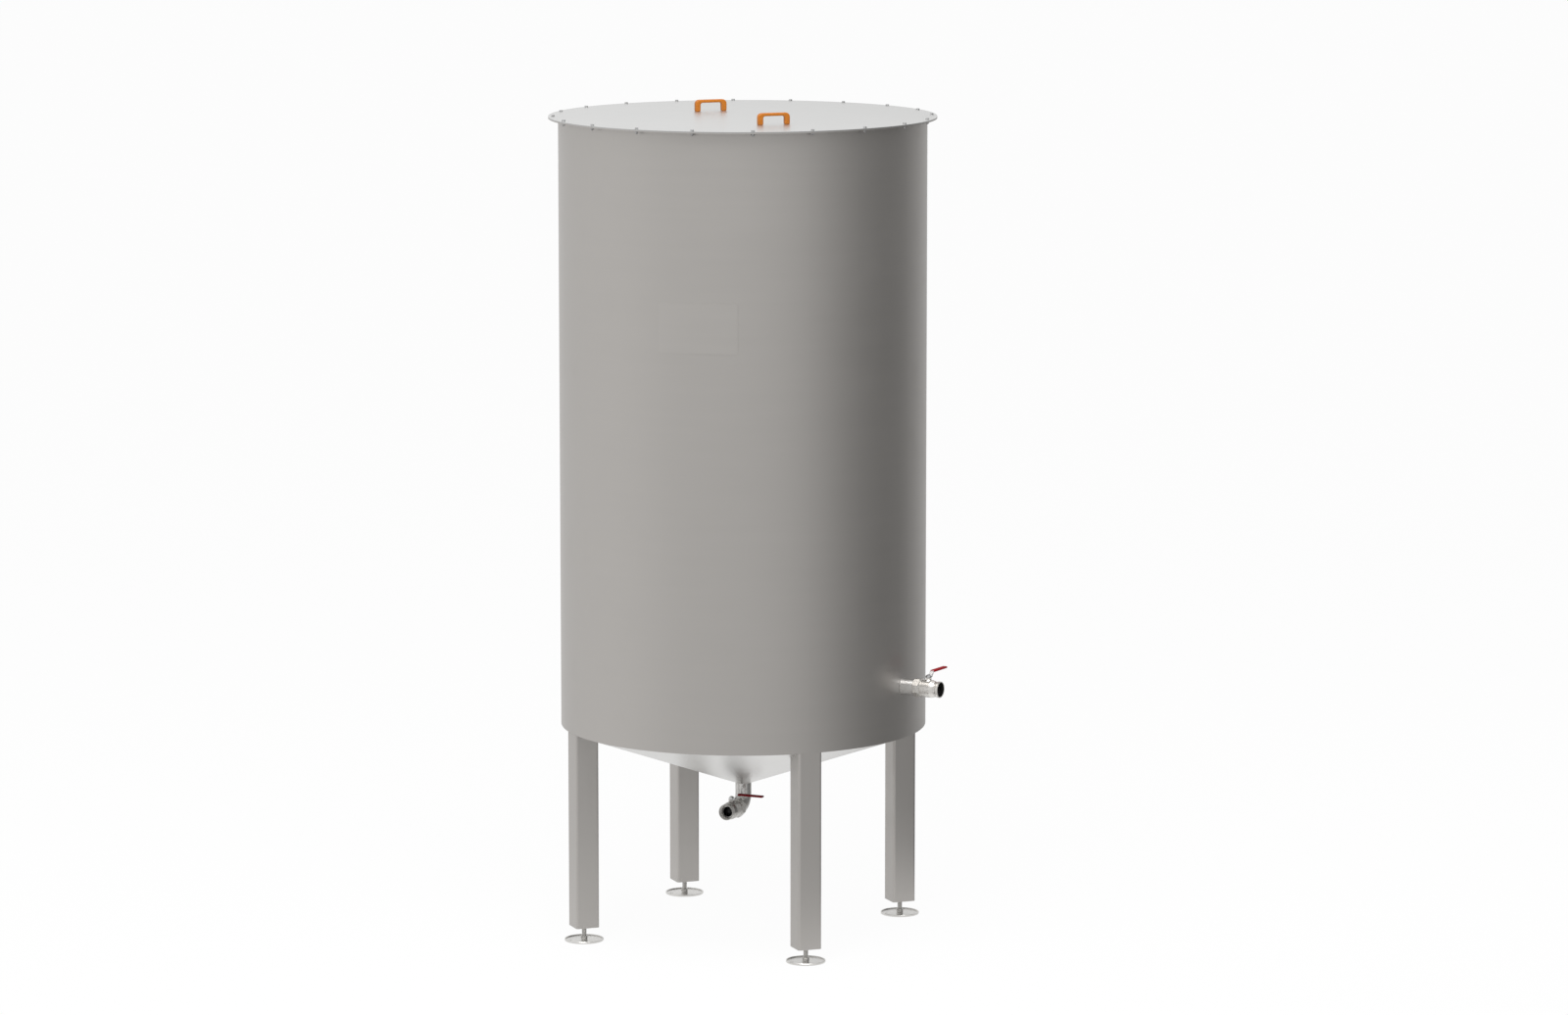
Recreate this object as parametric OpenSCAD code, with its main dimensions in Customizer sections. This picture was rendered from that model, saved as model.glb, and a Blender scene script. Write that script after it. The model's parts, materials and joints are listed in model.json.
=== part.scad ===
// Upright round liquid tank on four legs, with a flat bolted lid, a conical bottom,
// a side outlet and a bottom outlet, each closed by a ball valve with a lever.
// Origin: on the floor under the tank's axis. +Z up, one leg on each of +X, +Y, -X and -Y.

/* [Shell] */
// Outer radius of the round wall
shell_r = 600; // [500:5:750]
// Thickness of the round wall
shell_wall = 3; // [2:0.5:6]
// Height of the round wall's lower edge above the floor
shell_base_z = 692; // [600:1:900]
// Height from the round wall's lower edge to the top face of the lid
shell_h = 2000; // [1200:10:3000]

/* [Lid] */
// How far the lid and the flange stand out past the round wall
rim_out = 32; // [28:1:50]
// Thickness of the lid plate
lid_t = 3; // [2:0.5:8]
// Thickness of the flange under the lid
flange_t = 3; // [2:0.5:8]
// Number of bolt holes round the rim
bolt_count = 20; // [12:4:32]
// Radius of each bolt hole
bolt_hole_r = 4.5; // [3.5:0.5:6]
// Distance of the bolt circle outside the round wall
bolt_circle_out = 16; // [14:1:20]

/* [Lid handles] */
// Overall length of a handle
handle_l = 108; // [90:1:140]
// Overall height of a handle
handle_h = 38; // [32:1:60]
// Width of the handle across its length
handle_w = 18; // [12:1:26]
// Thickness of each upright of the handle
handle_leg = 17; // [10:1:22]
// Thickness of the bar on top
handle_bar = 10; // [7:1:14]
// Radius of the handle's outer corners
handle_round = 14; // [8:1:18]
// Place of both handles to the side of the lid's centre
handle_x = -34; // [-60:1:60]
// Place of the front handle in front of the lid's centre
front_handle_y = -362; // [-450:1:-150]
// Place of the rear handle behind the lid's centre
rear_handle_y = 206; // [150:1:450]

/* [Bottom cone] */
// Height from the cone's point to its wide end
cone_h = 214; // [150:1:300]
// Thickness of the cone's sheet
cone_wall = 3; // [2:0.5:6]

/* [Nameplate] */
// Width of the plate along the wall
plate_w = 260; // [150:5:400]
// Height of the plate
plate_h = 160; // [80:5:250]
// Thickness of the plate
plate_t = 1.2; // [0.8:0.1:3]
// Radius of the plate's corners
plate_round = 8; // [2:1:20]
// Height of the plate's middle above the round wall's lower edge
plate_z = 1372; // [300:1:1500]
// Direction that the plate faces, counted from +X
plate_angle = -125; // [-180:1:180]

/* [Legs] */
// Width of the square tube
leg_w = 80; // [60:1:100]
// Wall of the square tube
leg_wall = 3; // [2:0.5:6]
// Corner radius of the square tube
leg_round = 8; // [5:0.5:12]
// Height of the legs' lower ends above the floor
leg_base_z = 47; // [30:1:90]
// Thickness of the plate that closes a leg's lower end
end_plate_t = 5; // [3:0.5:10]

/* [Levelling feet] */
// Radius of the round foot
foot_r = 64; // [50:1:80]
// Thickness of the foot's floor plate
foot_t = 3; // [2:0.5:6]
// Height of the foot's rim
foot_rim_h = 6.5; // [4:0.5:10]
// Thickness of the foot's rim
foot_rim_t = 4; // [2:0.5:8]
// Radius of the hub in the middle of the foot
hub_r = 11; // [10:0.5:16]
// Height of the hub
hub_h = 16; // [12:1:20]
// Radius of the threaded stem
stem_r = 8; // [6:0.5:9]
// Depth of the stem's seat in the hub
stem_seat = 10; // [6:1:11]
// How far the stem reaches into the leg above its end plate
stem_reach = 60; // [20:5:150]
// Radius of the anchor hole in the foot
anchor_r = 5.5; // [3:0.5:7]
// Distance of the anchor hole from the middle of the foot
anchor_off = 48; // [30:1:50]

/* [Outlet pipes] */
// Outer radius of the bottom outlet's pipe
pipe_r = 26.5; // [20:0.5:27]
// Outer radius of the side outlet's pipe
side_pipe_r = 27; // [20:0.5:28.5]
// Wall of the outlet pipes
pipe_wall = 2; // [1:0.5:4]
// Height of the side outlet's axis above the round wall's lower edge
side_outlet_z = 171; // [60:1:400]
// Direction of the side outlet, counted from +X
side_outlet_angle = -51; // [-70:1:-20]
// Length of the side outlet's pipe outside the round wall
side_pipe_l = 44; // [30:1:90]
// Direction of the bottom outlet, counted from +X
bottom_outlet_angle = -136; // [-180:1:180]
// Height of the bottom outlet's axis above the floor
bottom_outlet_z = 410; // [300:1:430]
// Bend radius of the elbow under the cone
elbow_r = 43; // [36:1:50]

/* [Valves] */
// Length of a valve from its inlet face to its mouth
valve_l = 93.5; // [92:0.5:120]
// Distance of the stem from the inlet face
valve_stem_x = 48.5; // [48:0.5:56]
// Length of the eight-sided collar at the inlet
collar_l = 26; // [16:1:27]
// Width across the flats of the collar
collar_af = 59; // [57:1:70]
// Radius of the body round the ball
body_r = 28.5; // [28.5:0.5:33]
// Outer radius of the valve's mouth
mouth_r = 26.5; // [25:0.5:29]
// Radius of the socket in the mouth
socket_r = 22.45; // [20:0.05:23]
// Depth of the socket
socket_depth = 15; // [12:1:19]
// Radius of the opening between the socket and the ball
port_r = 17; // [16:0.5:19]
// Radius of the ball
ball_r = 24; // [22:0.5:24.5]
// Radius of the hole through the ball
ball_port_r = 16; // [12:0.5:17]
// Radius of the neck that carries the valve's stem
neck_r = 9; // [8.5:0.5:12]
// Height of the neck above the valve's axis
neck_h = 32; // [32:1:42]
// Width across the flats of the gland nut
gland_af = 18; // [16:1:22]
// Height of the gland nut
gland_h = 5; // [4:1:10]
// Radius of the valve's stem
spindle_r = 6; // [4.5:0.5:6.5]

/* [Levers] */
// Length from the stem to the tip of the grip
lever_l = 114; // [90:1:150]
// Width of the lever's strip
lever_w = 14; // [10:1:16]
// Thickness of the lever's strip
lever_t = 3; // [2:0.5:5]
// Radius of the lever's round end on the stem
lever_hub_r = 10; // [9:0.5:14]
// How far the strip steps up between the stem and the grip
lever_rise = 15; // [0:0.5:20]
// Distance from the stem to the near end of the grip
grip_start = 24; // [22:1:40]
// Width of the grip
grip_w = 17; // [17:1:24]
// Thickness of the grip
grip_t = 6; // [6:0.5:12]
// Wall of the grip at its far end
grip_tip = 3; // [2:0.5:6]

/* [Fits] */
// Gap at welded joints and between screw threads
weld_gap = 0.1; // [0.05:0.05:0.3]
// Gap round a stem that turns
running_gap = 0.05; // [0.02:0.01:0.1]
// Gap between the ball and its seats
ball_gap = 0.3; // [0.1:0.05:0.4]
// Gap under the lever that turns
lever_gap = 0.3; // [0.1:0.05:0.5]

/* [Hidden] */
$fn = 96;
// How far a cut runs past a face
eps = 1;

steel = "#b9b6b2";
bright_steel = "#d2d0cc";
handle_orange = "#c87a3e";
grip_red = "#a01018";

// Directions of the four legs
right_side = 0;
rear_side = 90;
left_side = 180;
front_side = 270;

// Levels
lid_top_z = shell_base_z + shell_h;
lid_base_z = lid_top_z - lid_t;
shell_top_z = lid_base_z - flange_t;
rim_r = shell_r + rim_out;
bolt_circle_r = shell_r + bolt_circle_out;
cone_tip_z = shell_base_z - cone_h;

// The cone's sheet is measured square to its surface
cone_slope = atan(cone_h / shell_r);
cone_rise = cone_wall / cos(cone_slope);
pipe_top_z = cone_tip_z + cone_rise + (pipe_r + weld_gap) * cone_h / shell_r;

// Legs stand flush with the round wall
leg_centre_r = shell_r - leg_w / 2;

// Valve profile
ball_room = ball_r + ball_gap;
spigot_wall = 1.2;
spigot_r = ball_room + spigot_wall;
spigot_end = valve_stem_x - ball_r * 0.58;
belly_end = valve_stem_x + ball_r * 0.6;
mouth_taper = 12;
mouth_band = socket_depth - 4;
valve_bevel = 1.5;
body_bevel = 2;
neck_flare = 6;
neck_foot_h = 2;
spindle_top = neck_h + gland_h + lever_gap;
spindle_flat_r = spindle_r - 1;
spindle_flats = spindle_r * 1.25;
strip_top = spindle_top + lever_t;
spindle_over = 6;
spindle_end = strip_top + spindle_over;

// Where the lever's strip steps up, and how far its upper side's bends are set back
bend_start = lever_hub_r + 2;
bend_end = grip_start - 1;
bend_angle = atan(lever_rise / (bend_end - bend_start));
bend_set = lever_t * tan(bend_angle / 2);

// Solid cone with its point down, as wide as the round wall at its top
module cone_body(drop, reach) {
    r_top = shell_r * (cone_h + reach) / cone_h;
    translate([0, 0, cone_tip_z - drop])
        cylinder(h = cone_h + reach, r1 = 0, r2 = r_top);
}

// Ring of holes through the rim
module rim_holes(z, t) {
    for (i = [0 : bolt_count - 1])
        rotate([0, 0, i * 360 / bolt_count])
            translate([bolt_circle_r, 0, z - eps])
                cylinder(h = t + 2 * eps, r = bolt_hole_r, $fn = 32);
}

// Rectangle with round corners, centred
module round_rect(w, h, r) {
    square([w - 2 * r, h], center = true);
    square([w, h - 2 * r], center = true);
    for (sx = [-1, 1], sy = [-1, 1])
        translate([sx * (w / 2 - r), sy * (h / 2 - r)])
            circle(r = r, $fn = 32);
}

// Round wall
module shell() {
    color(steel)
        difference() {
            translate([0, 0, shell_base_z])
                cylinder(h = shell_top_z - shell_base_z, r = shell_r);
            translate([0, 0, shell_base_z - eps])
                cylinder(h = shell_h, r = shell_r - shell_wall);
            at_side_outlet()
                translate([-2 * shell_wall - side_pipe_l, 0, 0])
                    rotate([0, 90, 0])
                        cylinder(h = 2 * side_pipe_l, r = side_pipe_r + weld_gap);
        }
}

// Flat ring welded to the wall's upper edge
module top_flange() {
    color(steel)
        difference() {
            translate([0, 0, shell_top_z])
                cylinder(h = flange_t, r = rim_r);
            translate([0, 0, shell_top_z - eps])
                cylinder(h = flange_t + 2 * eps, r = shell_r - shell_wall);
            rim_holes(shell_top_z, flange_t);
        }
}

// Flat round lid
module lid() {
    color(bright_steel)
        difference() {
            translate([0, 0, lid_base_z])
                cylinder(h = lid_t, r = rim_r);
            rim_holes(lid_base_z, lid_t);
        }
}

// Side view of a bridge handle: uprights, bar and round corners
module handle_outline() {
    inner_l = handle_l - 2 * handle_leg;
    inner_h = handle_h - handle_bar;
    inner_round = 7;
    difference() {
        union() {
            translate([-handle_l / 2, 0])
                square([handle_l, handle_h - handle_round]);
            translate([-handle_l / 2 + handle_round, 0])
                square([handle_l - 2 * handle_round, handle_h]);
            for (s = [-1, 1])
                translate([s * (handle_l / 2 - handle_round), handle_h - handle_round])
                    circle(r = handle_round, $fn = 48);
        }
        translate([-inner_l / 2, -eps])
            square([inner_l, inner_h - inner_round + eps]);
        translate([-inner_l / 2 + inner_round, -eps])
            square([inner_l - 2 * inner_round, inner_h + eps]);
        for (s = [-1, 1])
            translate([s * (inner_l / 2 - inner_round), inner_h - inner_round])
                circle(r = inner_round, $fn = 32);
    }
}

// Bridge handle that stands on the lid
module lid_handle(y) {
    color(handle_orange)
        translate([handle_x, y + handle_w / 2, lid_top_z])
            rotate([90, 0, 0])
                linear_extrude(handle_w)
                    handle_outline();
}

module front_lid_handle() {
    lid_handle(front_handle_y);
}

module rear_lid_handle() {
    lid_handle(rear_handle_y);
}

// Conical bottom, open at its point for the outlet pipe
module cone_bottom() {
    color(bright_steel)
        difference() {
            cone_body(0, 0);
            cone_body(-cone_rise, eps);
            translate([0, 0, cone_tip_z - eps])
                cylinder(h = cone_h, r = pipe_r + weld_gap);
        }
}

// Bare plate that follows the round wall
module nameplate() {
    color(bright_steel)
        intersection() {
            difference() {
                translate([0, 0, shell_base_z])
                    cylinder(h = shell_h, r = shell_r + weld_gap + plate_t);
                translate([0, 0, shell_base_z - eps])
                    cylinder(h = shell_h + 2 * eps, r = shell_r + weld_gap);
            }
            rotate([0, 0, plate_angle])
                translate([shell_r / 2, 0, shell_base_z + plate_z])
                    rotate([90, 0, 90])
                        linear_extrude(shell_r)
                            round_rect(plate_w, plate_h, plate_round);
        }
}

// Square tube, coped to the cone at its upper end
module leg(side) {
    tube_base_z = leg_base_z + end_plate_t;
    tube_top_z = shell_base_z - weld_gap;
    color(steel)
        rotate([0, 0, side])
            difference() {
                translate([leg_centre_r, 0, tube_base_z])
                    linear_extrude(tube_top_z - tube_base_z)
                        difference() {
                            round_rect(leg_w, leg_w, leg_round);
                            round_rect(leg_w - 2 * leg_wall, leg_w - 2 * leg_wall, leg_round - leg_wall);
                        }
                cone_body(weld_gap, weld_gap);
            }
}

module right_leg() {
    leg(right_side);
}

module rear_leg() {
    leg(rear_side);
}

module left_leg() {
    leg(left_side);
}

module front_leg() {
    leg(front_side);
}

// Plate that closes a leg's lower end, with the thread for the foot's stem
module leg_end_plate(side) {
    color(steel)
        rotate([0, 0, side])
            translate([leg_centre_r, 0, leg_base_z])
                linear_extrude(end_plate_t)
                    difference() {
                        round_rect(leg_w, leg_w, leg_round);
                        circle(r = stem_r + weld_gap);
                    }
}

module right_leg_end_plate() {
    leg_end_plate(right_side);
}

module rear_leg_end_plate() {
    leg_end_plate(rear_side);
}

module left_leg_end_plate() {
    leg_end_plate(left_side);
}

module front_leg_end_plate() {
    leg_end_plate(front_side);
}

// Threaded stem between the foot's hub and the leg
module foot_stem(side) {
    stem_base_z = hub_h - stem_seat;
    stem_top_z = leg_base_z + end_plate_t + stem_reach;
    color(steel)
        rotate([0, 0, side])
            translate([leg_centre_r, 0, stem_base_z])
                cylinder(h = stem_top_z - stem_base_z, r = stem_r);
}

module right_foot_stem() {
    foot_stem(right_side);
}

module rear_foot_stem() {
    foot_stem(rear_side);
}

module left_foot_stem() {
    foot_stem(left_side);
}

module front_foot_stem() {
    foot_stem(front_side);
}

// Half section of the dished foot: hub, floor plate and rim
module foot_profile() {
    polygon([
        [0, 0],
        [foot_r - 1, 0],
        [foot_r, 1],
        [foot_r, foot_rim_h - 1],
        [foot_r - 1, foot_rim_h],
        [foot_r - foot_rim_t + 1, foot_rim_h],
        [foot_r - foot_rim_t, foot_rim_h - 1],
        [foot_r - foot_rim_t, foot_t],
        [hub_r + 1, foot_t],
        [hub_r, foot_t + 1],
        [hub_r, hub_h - 1],
        [hub_r - 1, hub_h],
        [0, hub_h]
    ]);
}

// Round foot with a seat for the stem and one anchor hole
module foot(side) {
    color(bright_steel)
        rotate([0, 0, side])
            translate([leg_centre_r, 0, 0])
                difference() {
                    rotate_extrude()
                        foot_profile();
                    translate([0, 0, hub_h - stem_seat])
                        cylinder(h = hub_h, r = stem_r + weld_gap);
                    rotate([0, 0, -side])
                        translate([-anchor_off, 0, -eps])
                            cylinder(h = hub_h, r = anchor_r, $fn = 48);
                }
}

module right_foot() {
    foot(right_side);
}

module rear_foot() {
    foot(rear_side);
}

module left_foot() {
    foot(left_side);
}

module front_foot() {
    foot(front_side);
}

// Places a valve drawn along +X at the end of the side outlet's pipe
module at_side_outlet() {
    rotate([0, 0, side_outlet_angle])
        translate([shell_r + side_pipe_l, 0, shell_base_z + side_outlet_z])
            children();
}

// Places a valve drawn along +X at the end of the elbow
module at_bottom_outlet() {
    rotate([0, 0, bottom_outlet_angle])
        translate([elbow_r, 0, bottom_outlet_z])
            children();
}

// Pipe from the round wall's inner face to the side valve
module side_outlet_pipe() {
    pipe_l = 3 * side_pipe_l;
    color(steel)
        difference() {
            at_side_outlet()
                translate([-pipe_l, 0, 0])
                    rotate([0, 90, 0])
                        difference() {
                            cylinder(h = pipe_l, r = side_pipe_r);
                            translate([0, 0, -eps])
                                cylinder(h = pipe_l + 2 * eps, r = side_pipe_r - pipe_wall);
                        }
            translate([0, 0, shell_base_z])
                cylinder(h = 2 * side_outlet_z, r = shell_r - shell_wall);
        }
}

// Straight pipe down from the cone's point
module bottom_outlet_pipe() {
    pipe_base_z = bottom_outlet_z + elbow_r;
    color(steel)
        translate([0, 0, pipe_base_z])
            difference() {
                cylinder(h = pipe_top_z - pipe_base_z, r = pipe_r);
                translate([0, 0, -eps])
                    cylinder(h = pipe_top_z - pipe_base_z + 2 * eps, r = pipe_r - pipe_wall);
            }
}

// Quarter bend from the straight pipe to the bottom valve
module bottom_outlet_elbow() {
    color(steel)
        rotate([0, 0, bottom_outlet_angle])
            translate([elbow_r, 0, bottom_outlet_z + elbow_r])
                rotate([90, 0, 0])
                    rotate([0, 0, 180])
                        rotate_extrude(angle = 90)
                            translate([elbow_r, 0])
                                difference() {
                                    circle(r = pipe_r);
                                    circle(r = pipe_r - pipe_wall);
                                }
}

// Turns a half section drawn as [along the flow, radius] into a round solid along +X
module along_flow() {
    rotate([0, 90, 0])
        rotate_extrude()
            rotate([0, 0, 90])
                mirror([0, 1])
                    children();
}

// Eight-sided collar with a spigot that closes the body
module valve_collar() {
    corner_r = collar_af / 2 / cos(22.5);
    face_r = collar_af / 2 - valve_bevel;
    chamfer = corner_r + eps - face_r;
    color(bright_steel)
        difference() {
            union() {
                intersection() {
                    rotate([0, 90, 0])
                        rotate([0, 0, 22.5])
                            cylinder(h = collar_l, r = corner_r, $fn = 8);
                    along_flow()
                        polygon([
                            [0, 0],
                            [0, face_r],
                            [chamfer, corner_r + eps],
                            [collar_l - chamfer, corner_r + eps],
                            [collar_l, face_r],
                            [collar_l, 0]
                        ]);
                }
                rotate([0, 90, 0])
                    cylinder(h = spigot_end, r = spigot_r);
            }
            translate([-eps, 0, 0])
                rotate([0, 90, 0])
                    cylinder(h = valve_l, r = ball_port_r);
            translate([valve_stem_x, 0, 0])
                sphere(r = ball_room);
        }
}

// Half section of the valve body's outside, as [along the flow, radius]
module body_profile() {
    polygon([
        [collar_l, 0],
        [collar_l, body_r - body_bevel / 2],
        [collar_l + body_bevel, body_r],
        [belly_end, body_r],
        [belly_end + mouth_taper, mouth_r - valve_bevel],
        [valve_l - mouth_band, mouth_r - valve_bevel],
        [valve_l - mouth_band + body_bevel, mouth_r],
        [valve_l - valve_bevel, mouth_r],
        [valve_l, mouth_r - valve_bevel],
        [valve_l, 0]
    ]);
}

// Half section of the hollow inside the valve body
module body_hollow_profile() {
    polygon([
        [collar_l - eps, 0],
        [collar_l - eps, spigot_r + weld_gap],
        [spigot_end + weld_gap, spigot_r + weld_gap],
        [spigot_end + weld_gap, ball_room],
        [valve_stem_x, ball_room],
        [valve_stem_x, port_r],
        [valve_l - socket_depth, port_r],
        [valve_l - socket_depth, socket_r],
        [valve_l - valve_bevel, socket_r],
        [valve_l + eps, socket_r + valve_bevel + eps],
        [valve_l + eps, 0]
    ]);
}

// Valve body with the neck for the stem and the socket in its mouth
module valve_body() {
    neck_sunk = body_r - neck_flare;
    neck_foot_z = body_r + neck_foot_h;
    color(bright_steel)
        difference() {
            union() {
                along_flow()
                    body_profile();
                translate([valve_stem_x, 0, 0]) {
                    cylinder(h = neck_h, r = neck_r);
                    translate([0, 0, neck_sunk])
                        cylinder(h = neck_foot_z - neck_sunk, r1 = neck_r + neck_flare, r2 = neck_r);
                }
            }
            along_flow()
                body_hollow_profile();
            translate([valve_stem_x, 0, 0]) {
                sphere(r = ball_room);
                cylinder(h = neck_h + eps, r = spindle_r + running_gap);
            }
        }
}

// Six-sided nut on top of the neck
module valve_gland() {
    color(bright_steel)
        translate([valve_stem_x, 0, neck_h])
            difference() {
                cylinder(h = gland_h, r = gland_af / 2 / cos(30), $fn = 6);
                translate([0, 0, -eps])
                    cylinder(h = gland_h + 2 * eps, r = spindle_r + running_gap);
            }
}

// Section of the stem's upper end, with two flats, and of the hole for it
module flatted_round(gap) {
    intersection() {
        circle(r = spindle_flat_r + gap, $fn = 48);
        square([spindle_flats + 2 * gap, 4 * spindle_r], center = true);
    }
}

// Ball in its closed position, in one piece with the stem that turns it
module valve_ball() {
    color("#c9c9c9")
        translate([valve_stem_x, 0, 0])
            difference() {
                union() {
                    sphere(r = ball_r);
                    cylinder(h = spindle_top, r = spindle_r);
                    cylinder(h = spindle_end, r = spindle_flat_r);
                }
                rotate([90, 0, 0])
                    cylinder(h = 4 * ball_r, r = ball_port_r, center = true);
                for (s = [-1, 1])
                    translate([s * (spindle_flats / 2 + spindle_r), 0, spindle_top + spindle_r])
                        cube(2 * spindle_r, center = true);
            }
}

// Side view of the lever's strip, as [along the lever, height]
module strip_profile() {
    polygon([
        [-lever_hub_r, spindle_top],
        [bend_start, spindle_top],
        [bend_end, spindle_top + lever_rise],
        [lever_l - grip_tip, spindle_top + lever_rise],
        [lever_l - grip_tip, strip_top + lever_rise],
        [bend_end - bend_set, strip_top + lever_rise],
        [bend_start - bend_set, strip_top],
        [-lever_hub_r, strip_top]
    ]);
}

// Lever strip with a round end on the stem
module valve_lever() {
    color(bright_steel)
        translate([valve_stem_x, 0, 0])
            difference() {
                intersection() {
                    translate([-lever_hub_r, 0, 0])
                        rotate([90, 0, 90])
                            linear_extrude(2 * lever_hub_r)
                                strip_profile();
                    linear_extrude(4 * neck_h) {
                        circle(r = lever_hub_r);
                        translate([-lever_w / 2, 0])
                            square([lever_w, lever_l]);
                    }
                }
                translate([0, 0, spindle_top - eps])
                    linear_extrude(lever_t + 2 * eps)
                        flatted_round(weld_gap);
            }
}

// Sleeve on the outer end of the lever
module valve_grip() {
    grip_z = spindle_top + lever_rise + lever_t / 2;
    sleeve_l = lever_l - grip_start;
    grip_round = grip_t * 0.4;
    color(grip_red)
        translate([valve_stem_x, grip_start, grip_z])
            difference() {
                intersection() {
                    rotate([-90, 0, 0])
                        linear_extrude(sleeve_l)
                            round_rect(grip_w, grip_t, grip_round);
                    translate([0, 0, -grip_t])
                        linear_extrude(2 * grip_t) {
                            translate([-grip_w / 2, 0])
                                square([grip_w, sleeve_l - grip_w / 2]);
                            translate([0, sleeve_l - grip_w / 2])
                                circle(r = grip_w / 2, $fn = 64);
                        }
                }
                translate([-lever_w / 2 - weld_gap, -eps, -lever_t / 2 - weld_gap])
                    cube([lever_w + 2 * weld_gap, sleeve_l - grip_tip + eps, lever_t + 2 * weld_gap]);
            }
}

module side_valve_collar() {
    at_side_outlet()
        valve_collar();
}

module side_valve_body() {
    at_side_outlet()
        valve_body();
}

module side_valve_gland() {
    at_side_outlet()
        valve_gland();
}

module side_valve_ball() {
    at_side_outlet()
        valve_ball();
}

module side_valve_lever() {
    at_side_outlet()
        valve_lever();
}

module side_valve_grip() {
    at_side_outlet()
        valve_grip();
}

module bottom_valve_collar() {
    at_bottom_outlet()
        valve_collar();
}

module bottom_valve_body() {
    at_bottom_outlet()
        valve_body();
}

module bottom_valve_gland() {
    at_bottom_outlet()
        valve_gland();
}

module bottom_valve_ball() {
    at_bottom_outlet()
        valve_ball();
}

module bottom_valve_lever() {
    at_bottom_outlet()
        valve_lever();
}

module bottom_valve_grip() {
    at_bottom_outlet()
        valve_grip();
}

shell();
top_flange();
lid();
front_lid_handle();
rear_lid_handle();
cone_bottom();
nameplate();
right_leg();
rear_leg();
left_leg();
front_leg();
right_leg_end_plate();
rear_leg_end_plate();
left_leg_end_plate();
front_leg_end_plate();
right_foot_stem();
rear_foot_stem();
left_foot_stem();
front_foot_stem();
right_foot();
rear_foot();
left_foot();
front_foot();
side_outlet_pipe();
side_valve_collar();
side_valve_body();
side_valve_gland();
side_valve_ball();
side_valve_lever();
side_valve_grip();
bottom_outlet_pipe();
bottom_outlet_elbow();
bottom_valve_collar();
bottom_valve_body();
bottom_valve_gland();
bottom_valve_ball();
bottom_valve_lever();
bottom_valve_grip();
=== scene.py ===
"""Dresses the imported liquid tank: finishes, bolts, threads, soft handles, sleeves, weld beads, studio."""

import json
import logging
import math
from dataclasses import dataclass
from enum import Enum

import bpy
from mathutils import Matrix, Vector


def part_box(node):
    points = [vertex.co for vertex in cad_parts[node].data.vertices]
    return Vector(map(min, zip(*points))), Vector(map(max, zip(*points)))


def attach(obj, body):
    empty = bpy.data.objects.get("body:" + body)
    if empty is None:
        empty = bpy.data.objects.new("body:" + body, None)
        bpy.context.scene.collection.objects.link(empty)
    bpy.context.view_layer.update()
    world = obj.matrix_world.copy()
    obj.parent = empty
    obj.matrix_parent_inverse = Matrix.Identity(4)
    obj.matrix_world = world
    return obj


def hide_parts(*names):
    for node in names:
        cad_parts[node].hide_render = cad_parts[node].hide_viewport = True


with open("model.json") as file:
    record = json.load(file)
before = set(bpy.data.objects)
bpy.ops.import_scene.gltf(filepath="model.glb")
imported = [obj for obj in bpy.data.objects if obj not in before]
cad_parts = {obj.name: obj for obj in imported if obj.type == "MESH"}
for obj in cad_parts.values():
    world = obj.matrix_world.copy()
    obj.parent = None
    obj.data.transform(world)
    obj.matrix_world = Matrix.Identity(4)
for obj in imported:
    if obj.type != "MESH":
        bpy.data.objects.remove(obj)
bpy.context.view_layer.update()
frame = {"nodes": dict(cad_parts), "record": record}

log = logging.getLogger("liquid_tank")

Colour = tuple[float, float, float]
Point = tuple[float, float, float]

TANK = "tank"
SHELL_R = 0.600
LEG_R = 0.560
SIDE_OUTLET = -51.0
BOTTOM_OUTLET = -136.0
LEG_SIDES = {"right": 0, "rear": 90, "left": 180, "front": 270}


class Wire:
    """A shader socket that does sums: each operator adds its Math node."""

    def __init__(self, graph: "Graph", socket: bpy.types.NodeSocket) -> None:
        """Keeps the socket and the graph it belongs to."""
        self.graph = graph
        self.socket = socket

    def __add__(self, other: "Wire | float") -> "Wire":
        """Adds a socket or a number."""
        return self.graph.maths("ADD", self, other)

    __radd__ = __add__

    def __mul__(self, other: "Wire | float") -> "Wire":
        """Multiplies by a socket or a number."""
        return self.graph.maths("MULTIPLY", self, other)

    __rmul__ = __mul__

    def __sub__(self, other: "Wire | float") -> "Wire":
        """Takes a socket or a number away."""
        return self.graph.maths("SUBTRACT", self, other)

    def __rsub__(self, other: float) -> "Wire":
        """Takes this socket away from a number."""
        return self.graph.maths("SUBTRACT", other, self)


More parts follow.
